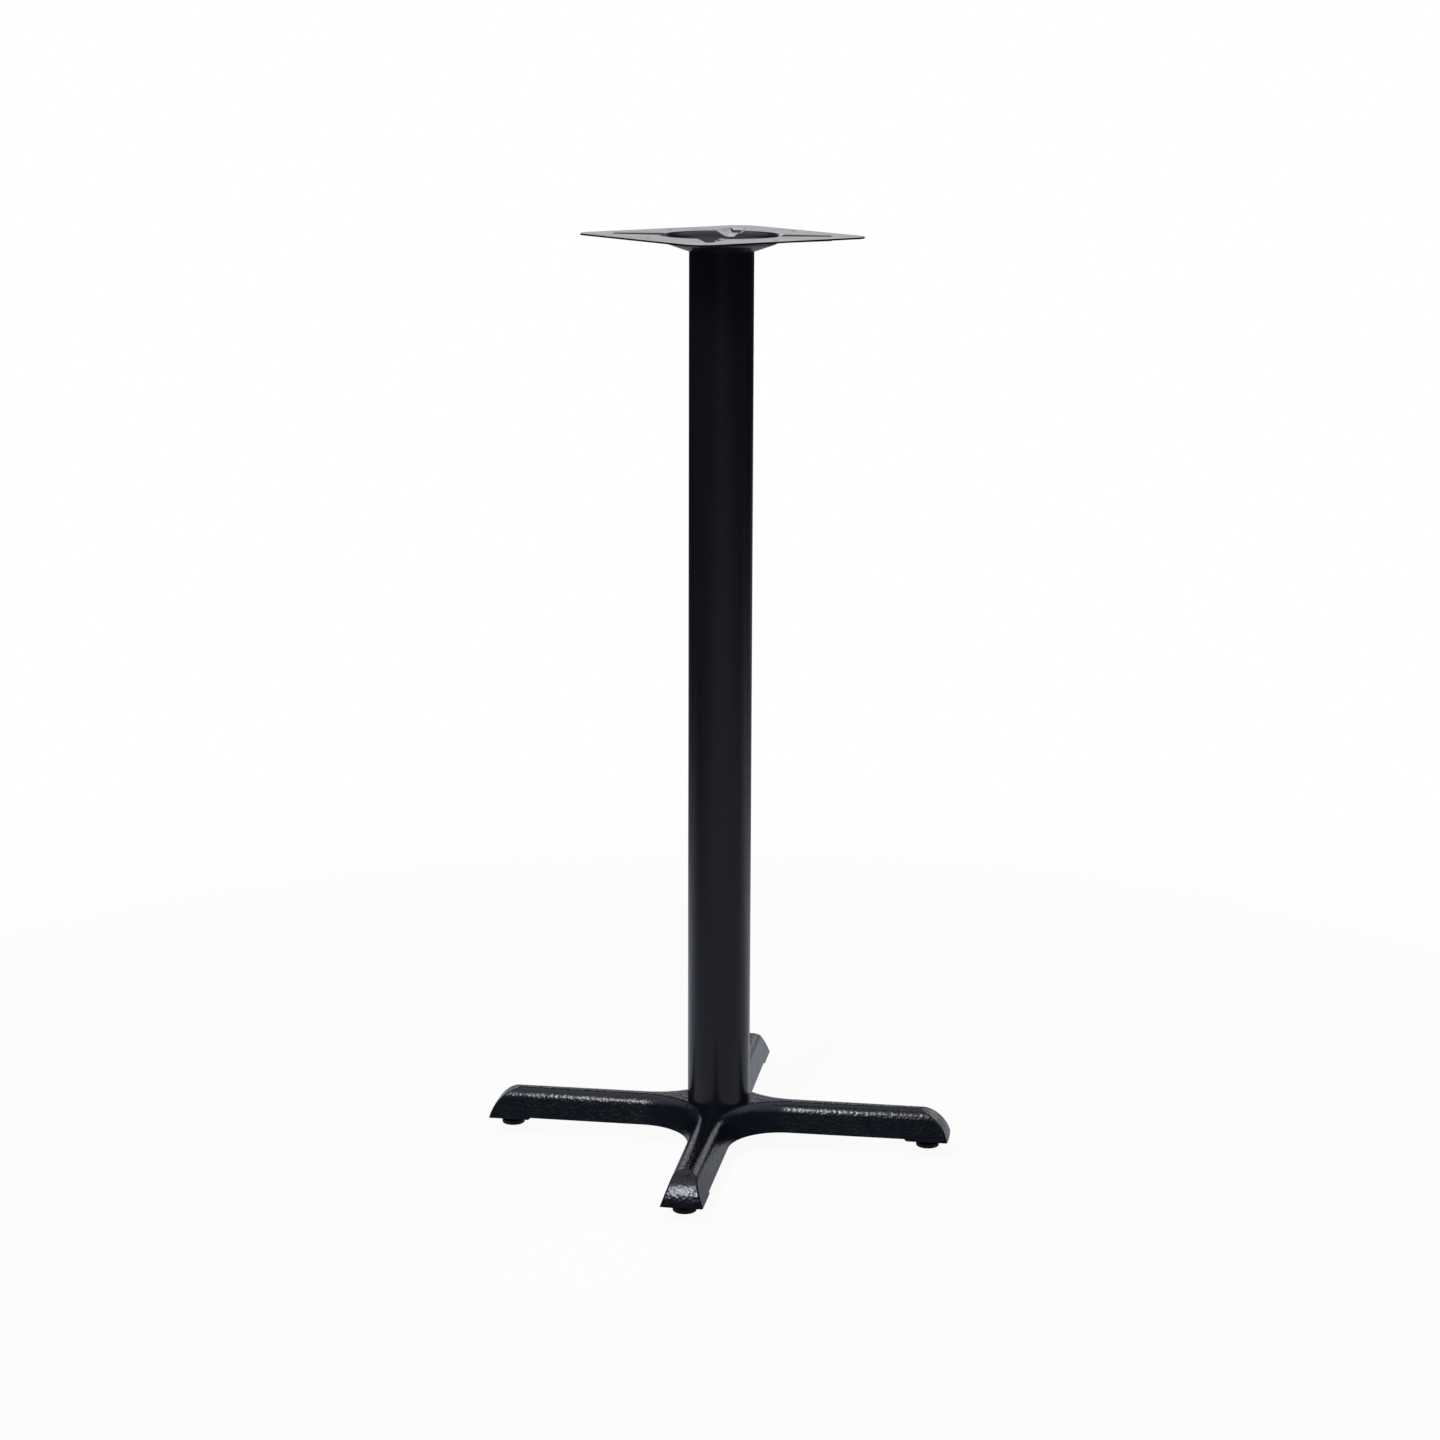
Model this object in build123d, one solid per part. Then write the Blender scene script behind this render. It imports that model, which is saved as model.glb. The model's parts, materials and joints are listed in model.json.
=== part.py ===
from build123d import *

import os
from math import atan2, cos, radians, sin, sqrt, tan

# Bistro table base: a cast cross foot on four levelling glides, a steel column,
# and a pressed top plate, all clamped together by one tie rod through the column.
# Millimetres, +Z up, origin on the floor under the column.
# The plate's sides lie along X and Y, and the four legs lie on the diagonals.

# Whole stand
overall_height = 1100.0
toe_reach = 285.5
glide_inset = 26.9

# Cast foot
casting_height = 35.2
leg_root_half_width = 26.4
leg_tip_half_width = 25.2
leg_draft_angle = 20.0
hub_fillet_radius = 64.0
shoulder_radius = 15.0
nose_length = 35.5
nose_radius = 49.0
nose_edge_radius = 2.5
toe_length = 52.0
leg_lift = 2.4
casting_wall = 5.5
casting_roof = 7.0
boss_radius = 17.0
boss_length = 19.0
spigot_height = 4.0
spigot_wall = 6.0
spigot_clearance = 0.3

# Column
column_diameter = 76.0
column_wall = 1.5

# Pressed top plate
plate_side = 250.0
plate_corner_radius = 25.0
sheet_thickness = 2.0
dish_drop = 16.5
dish_seat_margin = 2.0
dish_knee_run = 25.0
dish_knee_rise = 8.5
dish_rim_run = 5.0
locating_step = 3.0
step_foot_radius = 4.0
step_top_radius = 1.0
press_radius = 6.0
rim_radius = 8.0
groove_end_inset = 38.0
groove_end_width = 17.0
groove_end_floor_width = 11.0
groove_end_depth = 3.4
groove_end_angle = 20.0
groove_mouth_width = 34.0
groove_mouth_floor_width = 9.0
groove_mouth_depth = 6.5
groove_lip_rise = 0.1
groove_lip_radius = 3.0
groove_floor_radius = 2.0
screw_inset = 20.0
screw_hole_diameter = 6.5

# Tie rod and its fasteners
rod_diameter = 10.0
rod_hole_clearance = 0.5
rod_projection = 2.5
rod_chamfer = 1.0
thread_clearance = 0.05
nut_across_flats = 17.0
nut_height = 8.0
nut_chamfer_angle = 30.0
washer_diameter = 30.0
washer_thickness = 2.0
spring_washer_width = 4.0
spring_washer_thickness = 2.2
spring_washer_gap = 1.2
spring_washer_skew = 25.0

# Levelling glides
pad_diameter = 28.0
pad_height = 8.3
pad_edge_radius = 1.2
pad_rim_height = 5.5
collar_across_flats = 15.0
collar_height = 4.0
stud_diameter = 8.0
stud_length = 18.0
stud_grip = 5.0
stud_clearance = 0.08
stud_hole_spare = 3.0
stud_chamfer = 1.0

# Places and heights that follow from the sizes above
glide_reach = toe_reach - glide_inset
plate_corner_reach = plate_side / sqrt(2) - plate_corner_radius * (sqrt(2) - 1)
groove_end_reach = plate_corner_reach - groove_end_inset
screw_circle_radius = plate_side / 2 - screw_inset
toe_bottom = pad_height + collar_height
leg_bottom = toe_bottom + leg_lift
hub_top = toe_bottom + casting_height
boss_seat = hub_top - boss_length
plate_underside = overall_height - sheet_thickness
column_top = plate_underside - dish_drop
column_bore_radius = column_diameter / 2 - column_wall
rod_hole_radius = rod_diameter / 2 + rod_hole_clearance
dish_floor = column_top - locating_step + sheet_thickness
dish_seat_edge = column_diameter / 2 + dish_seat_margin
dish_rim = dish_seat_edge + dish_knee_run + dish_rim_run
stack_height = washer_thickness + spring_washer_thickness + nut_height
draft = tan(radians(leg_draft_angle))
leg_taper = (leg_tip_half_width - leg_root_half_width) / toe_reach
leg_angles = (45, 135, 225, 315)
glide_names = ("back_right", "back_left", "front_left", "front_right")

# How far a cutting shape runs past what it cuts, and how close counts as on a surface
overrun = 30.0
on_surface = 0.01
standing = (Align.CENTER, Align.CENTER, Align.MIN)


def on_leg(angle):
    """Location on the floor under the glide of the leg at this angle."""
    return Rot(0, 0, angle) * Pos(glide_reach, 0, 0)


def from_axis(point):
    """Distance of a point from the column's axis."""
    return Vector(point.X, point.Y).length


def cross_outline(root, tip, reach, corner_radius):
    """Four tapering legs joined by large rounded inner corners."""
    leg = Polygon((0, 0), (root, -root), (reach, -tip), (reach, tip), (root, root), align=None)
    cross = Sketch() + [Rot(0, 0, angle) * leg for angle in leg_angles]
    inner_corners = cross.vertices().sort_by(lambda v: Vector(v).length)[:4]
    return fillet(inner_corners, corner_radius)


def nose_arc():
    """Side view of a leg's end, from its top down to the toe tip, as (reach, height)."""
    return RadiusArc((toe_reach - nose_length, hub_top), (toe_reach, toe_bottom), nose_radius)


def nose_cutter():
    """Ring that leaves every leg with a rounded end."""
    arc = nose_arc()
    above = arc @ 0 - (arc % 0) * overrun
    below = arc @ 1 + (arc % 1) * overrun
    far = toe_reach + 2 * overrun
    outside = Polyline(arc @ 1, below, (far, below.Y), (far, above.Y), above, arc @ 0)
    return revolve(Plane.XZ * make_face(arc + outside), Axis.Z)


def is_nose_edge(edge):
    """True for an edge of the rounded nose that is not on the toe's underside."""
    centre = nose_arc().arc_center
    for share in (0.2, 0.5, 0.8):
        point = edge @ share
        in_side_view = Vector(from_axis(point), point.Z)
        if abs((in_side_view - centre).length - nose_radius) > on_surface:
            return False
    return (edge @ 0.5).Z > toe_bottom + on_surface


def make_cross_base():
    overlong_tip = leg_tip_half_width + leg_taper * overrun
    outline = cross_outline(leg_root_half_width, overlong_tip, toe_reach + overrun, hub_fillet_radius)
    body = Pos(0, 0, toe_bottom) * extrude(outline, casting_height, taper=leg_draft_angle)
    top_face = body.faces().sort_by(Axis.Z)[-1]
    shoulders = [e for e in top_face.edges() if from_axis(e @ 0.5) < toe_reach]
    body = fillet(shoulders, shoulder_radius)
    body -= nose_cutter()
    body = fillet([e for e in body.edges() if is_nose_edge(e)], nose_edge_radius)

    # The legs stand clear of the floor between the hub and the toe blocks
    toe_inner = toe_reach - toe_length
    lift = Cone(toe_inner + leg_lift, toe_inner, leg_lift, align=standing)
    body -= Pos(0, 0, toe_bottom) * lift

    # Hollow underside with an even wall
    side_wall = casting_wall / cos(radians(leg_draft_angle)) + leg_lift * draft
    cavity = cross_outline(
        leg_root_half_width - side_wall,
        leg_tip_half_width - side_wall,
        toe_inner - casting_wall,
        hub_fillet_radius + side_wall,
    )
    cavity_height = hub_top - casting_roof - leg_bottom
    body -= Pos(0, 0, leg_bottom) * extrude(cavity, cavity_height, taper=leg_draft_angle)

    # Centre boss for the tie rod, and the ring that centres the column
    body += Pos(0, 0, boss_seat) * Cylinder(boss_radius, boss_length, align=standing)
    spigot_radius = column_bore_radius - spigot_clearance
    ring = extrude(Circle(spigot_radius) - Circle(spigot_radius - spigot_wall), spigot_height)
    body += Pos(0, 0, hub_top) * ring
    body -= Pos(0, 0, boss_seat) * Cylinder(rod_hole_radius, 4 * boss_length)

    # Tapped holes for the glides
    hole_depth = stud_length + stud_hole_spare
    hole = Cylinder(stud_diameter / 2 + stud_clearance, hole_depth, align=standing)
    for angle in leg_angles:
        body -= on_leg(angle) * Pos(0, 0, toe_bottom) * hole
    return body


def make_column():
    ring = Circle(column_diameter / 2) - Circle(column_bore_radius)
    return Pos(0, 0, hub_top) * extrude(ring, column_top - hub_top)


def dish_section():
    """Underside of the pressed sheet, from the axis out past the plate's corners."""
    turn = tan(radians(45) / 2)
    locating_radius = column_bore_radius - spigot_clearance - step_top_radius * turn
    points = [
        (0, column_top - locating_step),
        (locating_radius - locating_step, column_top - locating_step),
        (locating_radius, column_top),
        (dish_seat_edge, column_top),
        (dish_seat_edge + dish_knee_run, column_top + dish_knee_rise),
        (dish_rim, plate_underside),
        (plate_side, plate_underside),
    ]
    radii = [step_foot_radius, step_top_radius, press_radius, press_radius, rim_radius]
    return FilletPolyline(*points, radius=radii)


def trough_section(width, floor_width, depth, grow):
    """Flat-bottomed trough with rounded lips and floor corners, grown outwards by the sheet's thickness."""
    slant = atan2(depth, (width - floor_width) / 2)
    turn = tan(slant / 2)
    lip = (groove_lip_radius - grow) * turn
    corner = (groove_floor_radius + grow) * turn
    brim = width / 2 + grow * turn
    bottom = floor_width / 2 + grow * turn
    lip_start = Vector(brim + lip, -grow)
    lip_end = Vector(brim - lip * cos(slant), -lip * sin(slant) - grow)
    corner_start = Vector(bottom + corner * cos(slant), corner * sin(slant) - depth - grow)
    corner_end = Vector(bottom - corner, -depth - grow)
    lip_arc = RadiusArc(lip_start, lip_end, -(groove_lip_radius - grow))
    wall = Line(lip_end, corner_start)
    corner_arc = RadiusArc(corner_start, corner_end, groove_floor_radius + grow)
    half = Curve() + [lip_arc, wall, corner_arc]
    other = mirror(half, Plane.YZ)
    floor = Line(corner_end, Vector(-corner_end.X, corner_end.Y))
    brink = Line(lip_start, Vector(-lip_start.X, lip_start.Y))
    return make_face(half + other + floor + brink)


def groove(grow):
    """Radial trough pressed into the sheet, grown by the sheet's thickness for its underside.

    From its outer end to the dish's rim it widens and deepens, and its floor narrows. It runs on into the dish.
    Its rounded lips begin just above the sheet, so they meet the sheet's face in a faint edge.
    """
    end_grow = grow / cos(radians(groove_end_angle))
    sections = []
    for reach, lean in ((dish_seat_edge, 0), (groove_end_reach + end_grow, groove_end_angle)):
        share = (groove_end_reach - reach) / (groove_end_reach - dish_rim)
        width = groove_end_width + (groove_mouth_width - groove_end_width) * share
        floor_width = groove_end_floor_width + (groove_mouth_floor_width - groove_end_floor_width) * share
        depth = groove_lip_rise + groove_end_depth + (groove_mouth_depth - groove_end_depth) * share
        upright = cos(radians(lean))
        leaning = Plane(
            origin=(reach, 0, overall_height + groove_lip_rise),
            x_dir=(0, 1, 0),
            z_dir=(upright, 0, -sin(radians(lean))),
        )
        sections.append(leaning * trough_section(width, floor_width, depth / upright, grow / upright))
    return loft(sections, ruled=True)


def make_top_plate():
    underside = dish_section()
    thickest = overall_height - column_top + overrun
    outline = RectangleRounded(plate_side, plate_side, plate_corner_radius)
    plate = Pos(0, 0, overall_height - thickest) * extrude(outline, thickest)

    # Upper side: grooves towards the corners with rounded lips, then the dish
    for angle in leg_angles:
        plate -= Rot(0, 0, angle) * groove(0)
    above = overall_height + overrun
    upper_side = offset(underside, sheet_thickness, side=Side.LEFT, closed=False)
    lid = Polyline((0, dish_floor), (0, above), (plate_side, above), (plate_side, overall_height))
    plate -= revolve(Plane.XZ * make_face(upper_side + lid), Axis.Z)

    # Underside, where the grooves stand out below the sheet
    below = column_top - 2 * overrun
    bed = Polyline(underside @ 0, (0, below), (plate_side, below), underside @ 1)
    space_below = revolve(Plane.XZ * make_face(underside + bed), Axis.Z)
    for angle in leg_angles:
        space_below -= Rot(0, 0, angle) * groove(sheet_thickness)
    plate -= space_below

    # Clearance hole for the tie rod, and screw holes midway along the sides
    plate -= Pos(0, 0, column_top) * Cylinder(rod_hole_radius, 2 * dish_drop)
    screw_hole = Cylinder(screw_hole_diameter / 2, 2 * sheet_thickness)
    plate -= Pos(0, 0, overall_height) * PolarLocations(screw_circle_radius, 4) * screw_hole
    return plate


def hexagon_nut():
    prism = extrude(RegularPolygon(nut_across_flats / 2, 6, major_radius=False), nut_height)
    corner_radius = nut_across_flats / sqrt(3)
    drop = (corner_radius - nut_across_flats / 2) * tan(radians(nut_chamfer_angle))
    points = [
        (0, 0),
        (nut_across_flats / 2, 0),
        (corner_radius, drop),
        (corner_radius, nut_height - drop),
        (nut_across_flats / 2, nut_height),
        (0, nut_height),
    ]
    turned = revolve(Plane.XZ * Polygon(*points, align=None), Axis.Z)
    bore = Cylinder(rod_diameter / 2 + thread_clearance, 2 * nut_height + overrun)
    return (prism & turned) - bore


def flat_washer():
    return extrude(Circle(washer_diameter / 2) - Circle(rod_hole_radius), washer_thickness)


def spring_washer():
    outer = rod_hole_radius + spring_washer_width
    ring = extrude(Circle(outer) - Circle(rod_hole_radius), spring_washer_thickness)
    cut = Box(2 * outer, spring_washer_gap, overrun)
    return ring - Pos(outer, 0, spring_washer_thickness / 2) * Rot(spring_washer_skew, 0, 0) * cut


def make_tie_rod():
    bottom = boss_seat - stack_height - rod_projection
    top = dish_floor + stack_height + rod_projection
    rod = Cylinder(rod_diameter / 2, top - bottom, align=standing)
    return Pos(0, 0, bottom) * chamfer(rod.edges().filter_by(GeomType.CIRCLE), rod_chamfer)


def make_glide_foot():
    radius = pad_diameter / 2
    neck = collar_across_flats / 2
    points = [(0, 0), (radius, 0), (radius, pad_rim_height), (neck, pad_height), (0, pad_height)]
    section = Sketch() + Polygon(*points, align=None)
    section = fillet(section.vertices().group_by(Axis.X)[-1], pad_edge_radius)
    pad = revolve(Plane.XZ * section, Axis.Z)
    collar = extrude(RegularPolygon(neck, 6, major_radius=False), collar_height)
    foot = pad + Pos(0, 0, pad_height) * collar
    socket = Cylinder(stud_diameter / 2, stud_grip + collar_height + overrun, align=standing)
    return foot - Pos(0, 0, pad_height - stud_grip) * socket


def make_glide_stud():
    stud = Cylinder(stud_diameter / 2, stud_grip + collar_height + stud_length, align=standing)
    stud = chamfer(stud.edges().filter_by(GeomType.CIRCLE).sort_by(Axis.Z)[-1], stud_chamfer)
    return Pos(0, 0, pad_height - stud_grip) * stud


def fasteners():
    """Washer, spring washer and nut on each end of the rod, working outwards from the clamped faces."""
    stack = {
        "washer": (flat_washer(), 0),
        "spring_washer": (spring_washer(), washer_thickness),
        "nut": (hexagon_nut(), washer_thickness + spring_washer_thickness),
    }
    placed = {}
    for name, (solid, height) in stack.items():
        placed["top_" + name] = Pos(0, 0, dish_floor + height) * solid
        placed["base_" + name] = Pos(0, 0, boss_seat - height) * Rot(180, 0, 0) * solid
    return placed


def main():
    nodes = {
        "cross_base": make_cross_base(),
        "column_tube": make_column(),
        "top_plate": make_top_plate(),
        "tie_rod": make_tie_rod(),
    }
    nodes.update(fasteners())
    for name, angle in zip(glide_names, leg_angles):
        nodes["glide_foot_" + name] = on_leg(angle) * make_glide_foot()
        nodes["glide_stud_" + name] = on_leg(angle) * make_glide_stud()

    os.makedirs("parts", exist_ok=True)
    for name, shape in nodes.items():
        export_step(shape, f"parts/{name}.step")


main()
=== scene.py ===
"""Looks of a bistro table base: camera, studio, painted and plated finishes, and screw threads."""

import json
import math

import bpy
from mathutils import Matrix, Vector


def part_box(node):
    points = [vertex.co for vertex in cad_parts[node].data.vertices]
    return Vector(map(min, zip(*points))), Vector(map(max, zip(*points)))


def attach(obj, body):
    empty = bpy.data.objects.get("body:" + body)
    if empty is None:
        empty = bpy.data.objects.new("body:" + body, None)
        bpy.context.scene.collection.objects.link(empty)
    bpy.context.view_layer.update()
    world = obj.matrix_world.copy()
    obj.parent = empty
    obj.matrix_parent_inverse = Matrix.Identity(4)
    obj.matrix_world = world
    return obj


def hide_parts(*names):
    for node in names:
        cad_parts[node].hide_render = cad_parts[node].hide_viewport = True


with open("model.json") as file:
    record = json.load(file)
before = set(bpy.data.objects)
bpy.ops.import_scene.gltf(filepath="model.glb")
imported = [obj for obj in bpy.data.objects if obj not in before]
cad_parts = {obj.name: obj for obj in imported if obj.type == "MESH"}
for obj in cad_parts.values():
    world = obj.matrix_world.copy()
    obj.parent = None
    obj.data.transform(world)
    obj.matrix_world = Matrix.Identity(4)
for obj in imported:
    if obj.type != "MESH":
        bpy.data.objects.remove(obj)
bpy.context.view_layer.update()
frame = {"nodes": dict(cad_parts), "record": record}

# Camera, in metres and degrees: where the photographer stood, seen from the middle of the floor
camera_turn = 36.364
camera_distance = 3.6768
camera_height = 1.3572
camera_dip = 12.777
camera_roll = 0.207

# Lens and sensor, in millimetres
camera_lens = 78.603
camera_sensor = 36.0

# Floor, in metres: it glows a little less near the object, where it shows the object's shadow
floor_size = 60.0
floor_whiteness = 0.8
floor_glow_near = 0.94
floor_glow_from = 0.7
floor_glow_to = 2.0

# Floor in reflections: brightness far in front and in front, with places in metres away from the camera
sheen_far = 0.07
sheen_front = 0.31
sheen_front_from = -6.0
sheen_front_to = -1.0

# Brightness that is added behind the object
sheen_back = 0.48
sheen_back_from = -0.4
sheen_back_to = 0.6

# Share of the brightness that is left further behind the object
sheen_distant = 0.30
sheen_distant_from = 0.3
sheen_distant_to = 1.5

# Share of the brightness that is left to the sides, with places in metres to the camera's right
sheen_aside = 0.05
sheen_left_from = -2.5
sheen_left_to = -0.2
sheen_right_from = 0.6
sheen_right_to = 4.5

# Backdrop in reflections: brightness at the floor and at its top
backdrop_low = 0.45
backdrop_high = 1.45

# Angles of the backdrop: its top, half its width, how far each fades, and its turn to the camera's right
backdrop_top_degrees = 14.5
backdrop_fade_degrees = 5.0
backdrop_half_degrees = 22.0
backdrop_side_fade_degrees = 16.0
backdrop_turn_degrees = 12.0

# Rest of the room in reflections: dim low down and bright overhead
dim_level = 0.06
ceiling_level = 0.9
ceiling_from_degrees = 30.0
ceiling_to_degrees = 60.0

# Even soft light of the room
room_level = 0.45

# Lamp, in metres: to the camera's right, away from the camera, and up
lamp_right = -0.6
lamp_away = -1.5
lamp_height = 1.9
lamp_width = 0.5
lamp_length = 1.1
lamp_aim_height = 0.05
lamp_spread_degrees = 50.0
lamp_watts = 3.2

# Tints of the studio's light
plain_white = (1.0, 1.0, 1.0, 1.0)
floor_tint = (0.91, 0.95, 1.09, 1.0)
backdrop_tint = (0.97, 0.97, 1.0, 1.0)
ceiling_tint = (0.93, 0.95, 1.09, 1.0)
dim_tint = (0.75, 0.80, 1.25, 1.0)
lamp_tint = (0.90, 0.93, 1.0)

# Casting: colour as linear light, widths and depths in metres
casting_colour = (0.0030, 0.0042, 0.0070, 1.0)
casting_change = 0.25
casting_cloud = 0.05
casting_rough = (0.18, 0.26)
casting_patch = 0.012
casting_specular = 0.4
dimple_width = 0.0038
dimple_smoothness = 0.6
dimple_depth = 0.00030
pebble_width = 0.0024
pebble_depth = 0.00010

# Powder coat, in the same units
column_colour = (0.0058, 0.0058, 0.0095, 1.0)
column_rough = (0.22, 0.26)
column_peel_depth = 0.00004
column_wave_depth = 0.00002
plate_colour = (0.0060, 0.0060, 0.0068, 1.0)
plate_rough = (0.13, 0.18)
plate_peel_depth = 0.00001
plate_wave_depth = 0.0007
powder_change = 0.12
powder_cloud = 0.08
powder_patch = 0.02
powder_wave_width = 0.035
powder_peel_width = 0.0011

# Zinc plate, in the same units
zinc_colour = (0.50, 0.51, 0.53, 1.0)
zinc_change = 0.15
zinc_cloud = 0.006
zinc_rough = (0.38, 0.55)
zinc_patch = 0.002
zinc_grain_width = 0.0005
zinc_grain_depth = 0.00002

# Plastic, in the same units
plastic_colour = (0.0040, 0.0040, 0.0044, 1.0)
plastic_change = 0.2
plastic_cloud = 0.01
plastic_rough = (0.45, 0.6)
plastic_patch = 0.003
plastic_specular = 0.25
plastic_grain_width = 0.0004
plastic_grain_depth = 0.00004

# Values between which most of a noise lies
noise_low = 0.3
noise_high = 0.7

# Screw threads, in metres
rod_pitch = 0.0015
rod_thread_length = 0.040
stud_pitch = 0.00125
end_chamfer = 0.001

# Section of a metric thread, as shares of its pitch
thread_height = 0.613
crest_half = 1 / 16
flank_run = 5 / 16

# Mesh of a thread
rows_per_turn = 12
thread_sides = 36
sharp_degrees = 40.0

# Sockets of a mix node for colours, by number because their names repeat for each kind of value
mix_share = 0
mix_first_colour = 6
mix_second_colour = 7
mix_colour = 2


# Camera


def add_camera():
    turn = math.radians(camera_turn)
    data = bpy.data.cameras.new("photo_camera")
    data.lens = camera_lens
    data.sensor_width = camera_sensor
    data.clip_end = 2 * floor_size
    camera = bpy.data.objects.new("photo_camera", data)
    bpy.context.scene.collection.objects.link(camera)
    place = away_from_camera() * -camera_distance
    place.z = camera_height
    camera.matrix_world = (
        Matrix.Translation(place)
        @ Matrix.Rotation(-turn, 4, "Z")
        @ Matrix.Rotation(math.radians(90 - camera_dip), 4, "X")
        @ Matrix.Rotation(math.radians(camera_roll), 4, "Z")
    )
    bpy.context.scene.camera = camera


def away_from_camera(turned=0.0):
    """Level direction in which the camera looks, or one turned by so many degrees to its right."""
    turn = math.radians(camera_turn + turned)
    return Vector((math.sin(turn), math.cos(turn), 0))


def to_camera_right():
    turn = math.radians(camera_turn)
    return Vector((math.cos(turn), -math.sin(turn), 0))


# Shader nodes


def cleared_tree(owner):
    """Empty node tree of a material or a world."""
    owner.use_nodes = True
    owner.node_tree.nodes.clear()
    return owner.node_tree


def feed(tree, value, socket):
    """Gives a socket its value, which is another socket, a number or a colour."""
    if isinstance(value, bpy.types.NodeSocket):
        tree.links.new(value, socket)
    else:
        socket.default_value = value


def map_range(tree, value, start, end, low, high, interpolation="SMOOTHSTEP"):
    """The value mapped from start..end to low..high."""
    made = tree.nodes.new("ShaderNodeMapRange")
    made.interpolation_type = interpolation
    made.inputs["From Min"].default_value = start
    made.inputs["From Max"].default_value = end
    made.inputs["To Min"].default_value = low
    made.inputs["To Max"].default_value = high
    tree.links.new(value, made.inputs["Value"])
    return made.outputs["Result"]


def combine(tree, operation, first, second):
    """Math node of two values, each a socket or a number."""
    made = tree.nodes.new("ShaderNodeMath")
    made.operation = operation
    feed(tree, first, made.inputs[0])
    feed(tree, second, made.inputs[1])
    return made.outputs["Value"]


def mixed(tree, share, first, second):
    """Colour between two, each a socket or a colour."""
    made = tree.nodes.new("ShaderNodeMix")
    made.data_type = "RGBA"
    feed(tree, share, made.inputs[mix_share])
    feed(tree, first, made.inputs[mix_first_colour])
    feed(tree, second, made.inputs[mix_second_colour])
    return made.outputs[mix_colour]


def along(tree, place, direction):
    """How far a place lies along a direction."""
    made = tree.nodes.new("ShaderNodeVectorMath")
    made.operation = "DOT_PRODUCT"
    tree.links.new(place, made.inputs[0])
    made.inputs[1].default_value = direction
    return made.outputs["Value"]


def distance(tree, place):
    """How far a place lies from the origin."""
    made = tree.nodes.new("ShaderNodeVectorMath")
    made.operation = "LENGTH"
    tree.links.new(place, made.inputs[0])
    return made.outputs["Value"]


def glow_by_ray(tree, direct, reflected):
    """Direct for camera and transmission rays, reflected for glossy rays, and 0 for the rest."""
    path = tree.nodes.new("ShaderNodeLightPath")
    seen = combine(tree, "ADD", path.outputs["Is Camera Ray"], path.outputs["Is Transmission Ray"])
    return combine(
        tree,
        "ADD",
        combine(tree, "MULTIPLY", seen, direct),
        combine(tree, "MULTIPLY", path.outputs["Is Glossy Ray"], reflected),
    )


def tint_by_ray(tree, reflected):
    """White, or the reflected colour for glossy rays."""
    path = tree.nodes.new("ShaderNodeLightPath")
    return mixed(tree, path.outputs["Is Glossy Ray"], plain_white, reflected)


# Studio


def room_in_reflections(tree, place):
    """Brightness and tint of the room: white low down behind the object, dim in front, lit overhead."""
    height = along(tree, place, (0, 0, 1))
    away = along(tree, place, away_from_camera(backdrop_turn_degrees))
    side_end = math.cos(math.radians(backdrop_half_degrees + backdrop_side_fade_degrees))
    side_start = math.cos(math.radians(backdrop_half_degrees))
    top_start = math.sin(math.radians(backdrop_top_degrees))
    top_end = math.sin(math.radians(backdrop_top_degrees + backdrop_fade_degrees))
    sideways = map_range(tree, away, side_end, side_start, 0.0, 1.0)
    upwards = map_range(tree, height, top_start, top_end, 1.0, 0.0)
    white = combine(tree, "MULTIPLY", sideways, upwards)
    backdrop = map_range(tree, height, 0.0, top_start, backdrop_low, backdrop_high)

    ceiling_start = math.sin(math.radians(ceiling_from_degrees))
    ceiling_end = math.sin(math.radians(ceiling_to_degrees))
    overhead = map_range(tree, height, ceiling_start, ceiling_end, 0.0, 1.0)
    ceiling = map_range(tree, height, ceiling_start, ceiling_end, dim_level, ceiling_level)

    level = combine(tree, "MAXIMUM", combine(tree, "MULTIPLY", white, backdrop), ceiling)
    tint = mixed(tree, white, mixed(tree, overhead, dim_tint, ceiling_tint), backdrop_tint)
    return level, tint


def set_world():
    """White wherever it is looked at, a studio in reflections, and an even soft light on all."""
    world = bpy.data.worlds.new("studio")
    bpy.context.scene.world = world
    tree = cleared_tree(world)
    place = tree.nodes.new("ShaderNodeTexCoord").outputs["Generated"]
    level, tint = room_in_reflections(tree, place)
    path = tree.nodes.new("ShaderNodeLightPath")
    soft = combine(tree, "MULTIPLY", path.outputs["Is Diffuse Ray"], room_level)
    strength = combine(tree, "ADD", soft, glow_by_ray(tree, 1.0, level))
    background = tree.nodes.new("ShaderNodeBackground")
    tree.links.new(tint_by_ray(tree, tint), background.inputs["Color"])
    tree.links.new(strength, background.inputs["Strength"])
    output = tree.nodes.new("ShaderNodeOutputWorld")
    tree.links.new(background.outputs["Background"], output.inputs["Surface"])


def floor_in_reflections(tree, place):
    """Brightness of the floor: most just behind the object, less in front, further back and to the sides."""
    away = along(tree, place, away_from_camera())
    right = along(tree, place, to_camera_right())
    front = map_range(tree, away, sheen_front_from, sheen_front_to, sheen_far, sheen_front)
    back = map_range(tree, away, sheen_back_from, sheen_back_to, 0.0, sheen_back)
    distant_fade = map_range(tree, away, sheen_distant_from, sheen_distant_to, 1.0, sheen_distant)
    left_fade = map_range(tree, right, sheen_left_from, sheen_left_to, sheen_aside, 1.0)
    right_fade = map_range(tree, right, sheen_right_from, sheen_right_to, 1.0, sheen_aside)
    fade = combine(tree, "MULTIPLY", distant_fade, combine(tree, "MULTIPLY", left_fade, right_fade))
    return combine(tree, "MULTIPLY", combine(tree, "ADD", front, back), fade)


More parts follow.
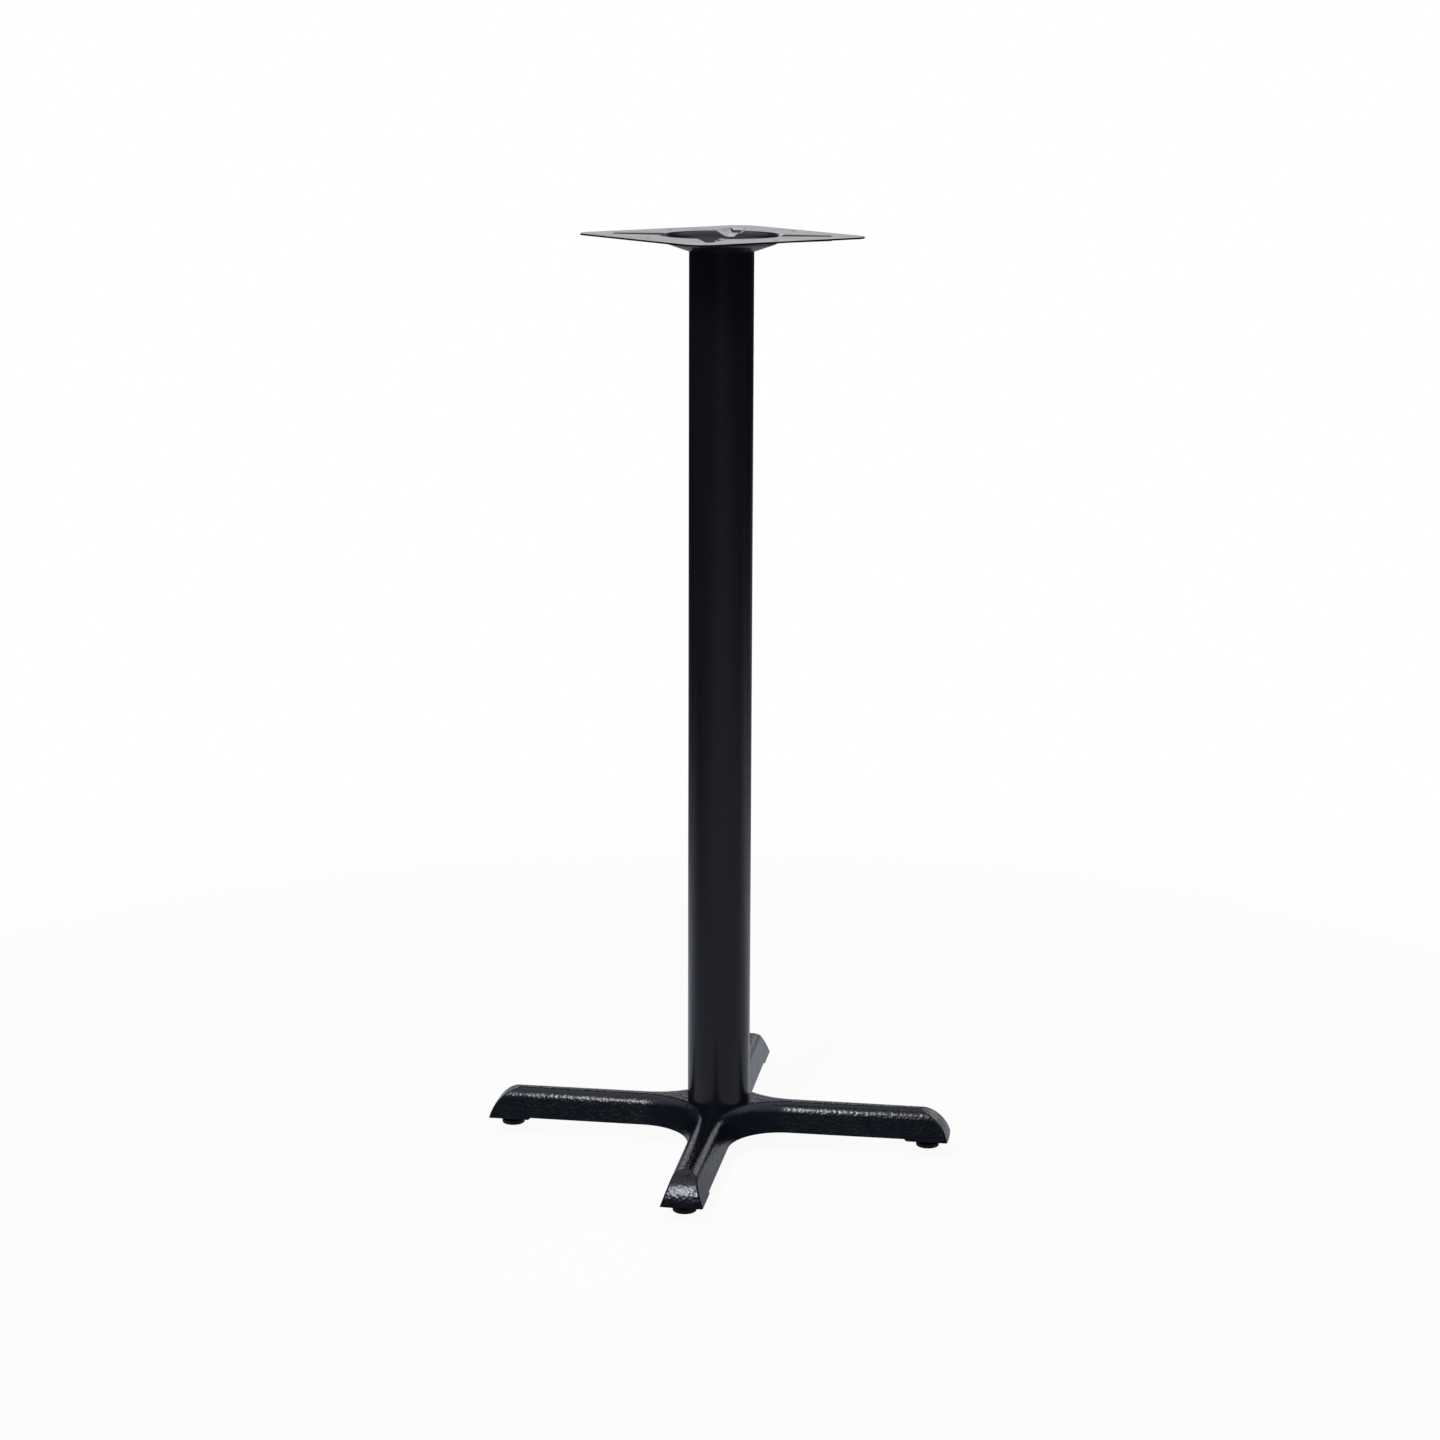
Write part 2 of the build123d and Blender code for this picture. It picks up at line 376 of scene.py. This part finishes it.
def floor_material():
    """Matt white paper that glows white to the camera and keeps a faint shadow near the object; reflections
    show it as a glow painted brighter behind the object and dimmer in front and to the sides.
    """
    material = bpy.data.materials.new("floor_white")
    tree = cleared_tree(material)
    place = tree.nodes.new("ShaderNodeTexCoord").outputs["Object"]
    paper = tree.nodes.new("ShaderNodeBsdfDiffuse")
    paper.inputs["Color"].default_value = (floor_whiteness, floor_whiteness, floor_whiteness, 1.0)
    glow = tree.nodes.new("ShaderNodeEmission")
    tree.links.new(tint_by_ray(tree, floor_tint), glow.inputs["Color"])
    tree.links.new(glow_by_ray(tree, 1.0, floor_in_reflections(tree, place)), glow.inputs["Strength"])
    far = distance(tree, place)
    glow_share = map_range(tree, far, floor_glow_from, floor_glow_to, floor_glow_near, 1.0)
    mix = tree.nodes.new("ShaderNodeMixShader")
    tree.links.new(glow_by_ray(tree, glow_share, 1.0), mix.inputs[0])
    tree.links.new(paper.outputs["BSDF"], mix.inputs[1])
    tree.links.new(glow.outputs["Emission"], mix.inputs[2])
    output = tree.nodes.new("ShaderNodeOutputMaterial")
    tree.links.new(mix.outputs["Shader"], output.inputs["Surface"])
    return material


def add_floor():
    """Floor at the lowest place that a glide reaches, so that it hides none when they are screwed out."""
    half = floor_size / 2
    level = -max(joint["range_m"][1] for joint in frame["record"]["behaviour"]["joints"])
    mesh = bpy.data.meshes.new("floor")
    corners = [(-half, -half, level), (half, -half, level), (half, half, level), (-half, half, level)]
    mesh.from_pydata(corners, [], [(0, 1, 2, 3)])
    mesh.materials.append(floor_material())
    floor = bpy.data.objects.new("floor", mesh)
    bpy.context.scene.collection.objects.link(floor)


def add_lamp():
    """A softbox in front on the left, with a grid that keeps its light on the foot."""
    data = bpy.data.lights.new("front_left", "AREA")
    data.shape = "RECTANGLE"
    data.size = lamp_width
    data.size_y = lamp_length
    data.spread = math.radians(lamp_spread_degrees)
    data.energy = lamp_watts
    data.color = lamp_tint
    lamp = bpy.data.objects.new("front_left", data)
    lamp.visible_camera = False
    bpy.context.scene.collection.objects.link(lamp)
    lamp.location = to_camera_right() * lamp_right + away_from_camera() * lamp_away
    lamp.location.z = lamp_height
    lamp.rotation_mode = "QUATERNION"
    aim = Vector((0, 0, lamp_aim_height)) - lamp.location
    lamp.rotation_quaternion = aim.to_track_quat("-Z", "Y")


# Finishes


def noise(tree, place, width):
    """Solid noise whose lumps are about so many metres wide."""
    made = tree.nodes.new("ShaderNodeTexNoise")
    made.inputs["Scale"].default_value = 1 / width
    tree.links.new(place, made.inputs["Vector"])
    return made.outputs["Fac"]


def start_finish(name, colour, change, cloud, rough, patch):
    """Material whose colour changes by a share over clouds, and its roughness over smaller patches."""
    material = bpy.data.materials.new(name)
    tree = cleared_tree(material)
    shader = tree.nodes.new("ShaderNodeBsdfPrincipled")
    output = tree.nodes.new("ShaderNodeOutputMaterial")
    tree.links.new(shader.outputs["BSDF"], output.inputs["Surface"])
    place = tree.nodes.new("ShaderNodeTexCoord").outputs["Object"]
    darker = [channel * (1 - change) for channel in colour[:3]] + [1.0]
    lighter = [channel * (1 + change) for channel in colour[:3]] + [1.0]
    tree.links.new(mixed(tree, noise(tree, place, cloud), darker, lighter), shader.inputs["Base Color"])
    smooth, dull = rough
    roughness = map_range(tree, noise(tree, place, patch), noise_low, noise_high, smooth, dull, "LINEAR")
    tree.links.new(roughness, shader.inputs["Roughness"])
    return material, tree, shader, place


def bump(tree, shader, layers):
    """Bump layers, each a height and its depth in metres, one over the other."""
    normal = None
    for height, depth in layers:
        made = tree.nodes.new("ShaderNodeBump")
        made.inputs["Strength"].default_value = 1.0
        made.inputs["Distance"].default_value = depth
        tree.links.new(height, made.inputs["Height"])
        if normal is not None:
            tree.links.new(normal, made.inputs["Normal"])
        normal = made.outputs["Normal"]
    tree.links.new(normal, shader.inputs["Normal"])


def hammered_cast_black():
    """Thick glossy black coat over sand-cast iron: dimples a few millimetres across."""
    material, tree, shader, place = start_finish(
        "hammered_cast_black", casting_colour, casting_change, casting_cloud, casting_rough, casting_patch
    )
    shader.inputs["Specular IOR Level"].default_value = casting_specular
    dimples = tree.nodes.new("ShaderNodeTexVoronoi")
    dimples.feature = "SMOOTH_F1"
    dimples.inputs["Scale"].default_value = 1 / dimple_width
    dimples.inputs["Smoothness"].default_value = dimple_smoothness
    tree.links.new(place, dimples.inputs["Vector"])
    pebbles = noise(tree, place, pebble_width)
    bump(tree, shader, [(dimples.outputs["Distance"], dimple_depth), (pebbles, pebble_depth)])
    return material


def satin_powder_black(name, colour, rough, peel_depth, wave_depth):
    """Satin powder coat with a fine orange peel over slightly wavy sheet."""
    material, tree, shader, place = start_finish(
        name, colour, powder_change, powder_cloud, rough, powder_patch
    )
    waves = noise(tree, place, powder_wave_width)
    peel = noise(tree, place, powder_peel_width)
    bump(tree, shader, [(waves, wave_depth), (peel, peel_depth)])
    return material


def bright_zinc():
    """Zinc-plated steel, a little cloudy from its passivating bath."""
    material, tree, shader, place = start_finish(
        "bright_zinc", zinc_colour, zinc_change, zinc_cloud, zinc_rough, zinc_patch
    )
    shader.inputs["Metallic"].default_value = 1.0
    bump(tree, shader, [(noise(tree, place, zinc_grain_width), zinc_grain_depth)])
    return material


def moulded_black_plastic():
    """Matt black moulded plastic with a fine eroded grain."""
    material, tree, shader, place = start_finish(
        "moulded_black_plastic", plastic_colour, plastic_change, plastic_cloud, plastic_rough, plastic_patch
    )
    shader.inputs["Specular IOR Level"].default_value = plastic_specular
    bump(tree, shader, [(noise(tree, place, plastic_grain_width), plastic_grain_depth)])
    return material


def dress(names, material):
    """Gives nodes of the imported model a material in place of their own."""
    for name in names:
        mesh = frame["nodes"][name].data
        mesh.materials.clear()
        mesh.materials.append(material)


# Screw threads


def thread_depth(turns):
    """Share of a metric thread's depth at a place along it: 0 on its crest, 1 in its root."""
    from_crest = abs((turns + 0.5) % 1.0 - 0.5)
    return min(max((from_crest - crest_half) / flank_run, 0.0), 1.0)


def run_out(height, zones, pitch):
    """Share of the full thread at a height: it fades in over one turn at a zone's plain end."""
    for start, end, plain_end in zones:
        if start <= height <= end:
            return min(abs(height - plain_end) / pitch, 1.0)
    return 0.0


def ring_heights(bottom, top, zones, pitch):
    """Heights of a rod's rings of points: its ends, its chamfers, and close rows along each zone."""
    heights = {bottom, bottom + end_chamfer, top - end_chamfer, top}
    for start, end, _ in zones:
        rows = round((end - start) / pitch * rows_per_turn)
        heights.update(start + (end - start) * row / rows for row in range(rows + 1))
    return sorted(heights)


def stack_faces(rings):
    """Faces of a stack of rings: four-sided ones between the rings, and a cap at each end."""
    faces = []
    for row in range(rings - 1):
        base = row * thread_sides
        for side in range(thread_sides):
            after = (side + 1) % thread_sides
            faces.append((base + side, base + after, base + thread_sides + after, base + thread_sides + side))
    last = (rings - 1) * thread_sides
    faces.append(tuple(reversed(range(thread_sides))))
    faces.append(tuple(range(last, last + thread_sides)))
    return faces


def add_threaded_rod(name, body, pitch, zones, material):
    """Puts a threaded rod in a plain CAD rod's place; its crests lie on the plain rod's surface.

    Each zone is a height where thread starts, one where it ends, and which of the two is its plain end.
    """
    low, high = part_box(name)
    middle_x = (low[0] + high[0]) / 2
    middle_y = (low[1] + high[1]) / 2
    radius = (high[0] - low[0]) / 2
    heights = ring_heights(low[2], high[2], zones, pitch)
    vertices = []
    for height in heights:
        from_end = min(height - low[2], high[2] - height)
        limit = radius - max(end_chamfer - from_end, 0.0)
        full_depth = thread_height * pitch * run_out(height, zones, pitch)
        for side in range(thread_sides):
            share = side / thread_sides
            reach = min(radius - full_depth * thread_depth(height / pitch - share), limit)
            angle = 2 * math.pi * share
            vertices.append((middle_x + reach * math.cos(angle), middle_y + reach * math.sin(angle), height))

    mesh = bpy.data.meshes.new(f"{name}_thread")
    mesh.from_pydata(vertices, [], stack_faces(len(heights)))
    mesh.shade_smooth()
    mesh.set_sharp_from_angle(angle=math.radians(sharp_degrees))
    mesh.materials.append(material)
    rod = bpy.data.objects.new(f"{name}_thread", mesh)
    bpy.context.scene.collection.objects.link(rod)
    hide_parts(name)
    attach(rod, body)


# The scene

bpy.context.scene.view_settings.view_transform = "Standard"
add_camera()
set_world()
add_floor()
add_lamp()

corners = ("front_left", "front_right", "back_left", "back_right")
column_black = satin_powder_black(
    "column_satin_black", column_colour, column_rough, column_peel_depth, column_wave_depth
)
plate_black = satin_powder_black(
    "plate_satin_black", plate_colour, plate_rough, plate_peel_depth, plate_wave_depth
)
zinc = bright_zinc()
dress(["cross_base"], hammered_cast_black())
dress(["column_tube"], column_black)
dress(["top_plate"], plate_black)
for end in ("top", "base"):
    dress([f"{end}_washer", f"{end}_spring_washer", f"{end}_nut"], zinc)
dress([f"glide_foot_{corner}" for corner in corners], moulded_black_plastic())

rod_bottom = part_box("tie_rod")[0][2]
rod_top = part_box("tie_rod")[1][2]
rod_zones = [
    (rod_bottom, rod_bottom + rod_thread_length, rod_bottom + rod_thread_length),
    (rod_top - rod_thread_length, rod_top, rod_top - rod_thread_length),
]
add_threaded_rod("tie_rod", "stand", rod_pitch, rod_zones, zinc)
for corner in corners:
    collar_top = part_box(f"glide_foot_{corner}")[1][2]
    stud_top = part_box(f"glide_stud_{corner}")[1][2]
    stud_zones = [(collar_top, stud_top, collar_top)]
    add_threaded_rod(f"glide_stud_{corner}", f"glide_{corner}", stud_pitch, stud_zones, zinc)
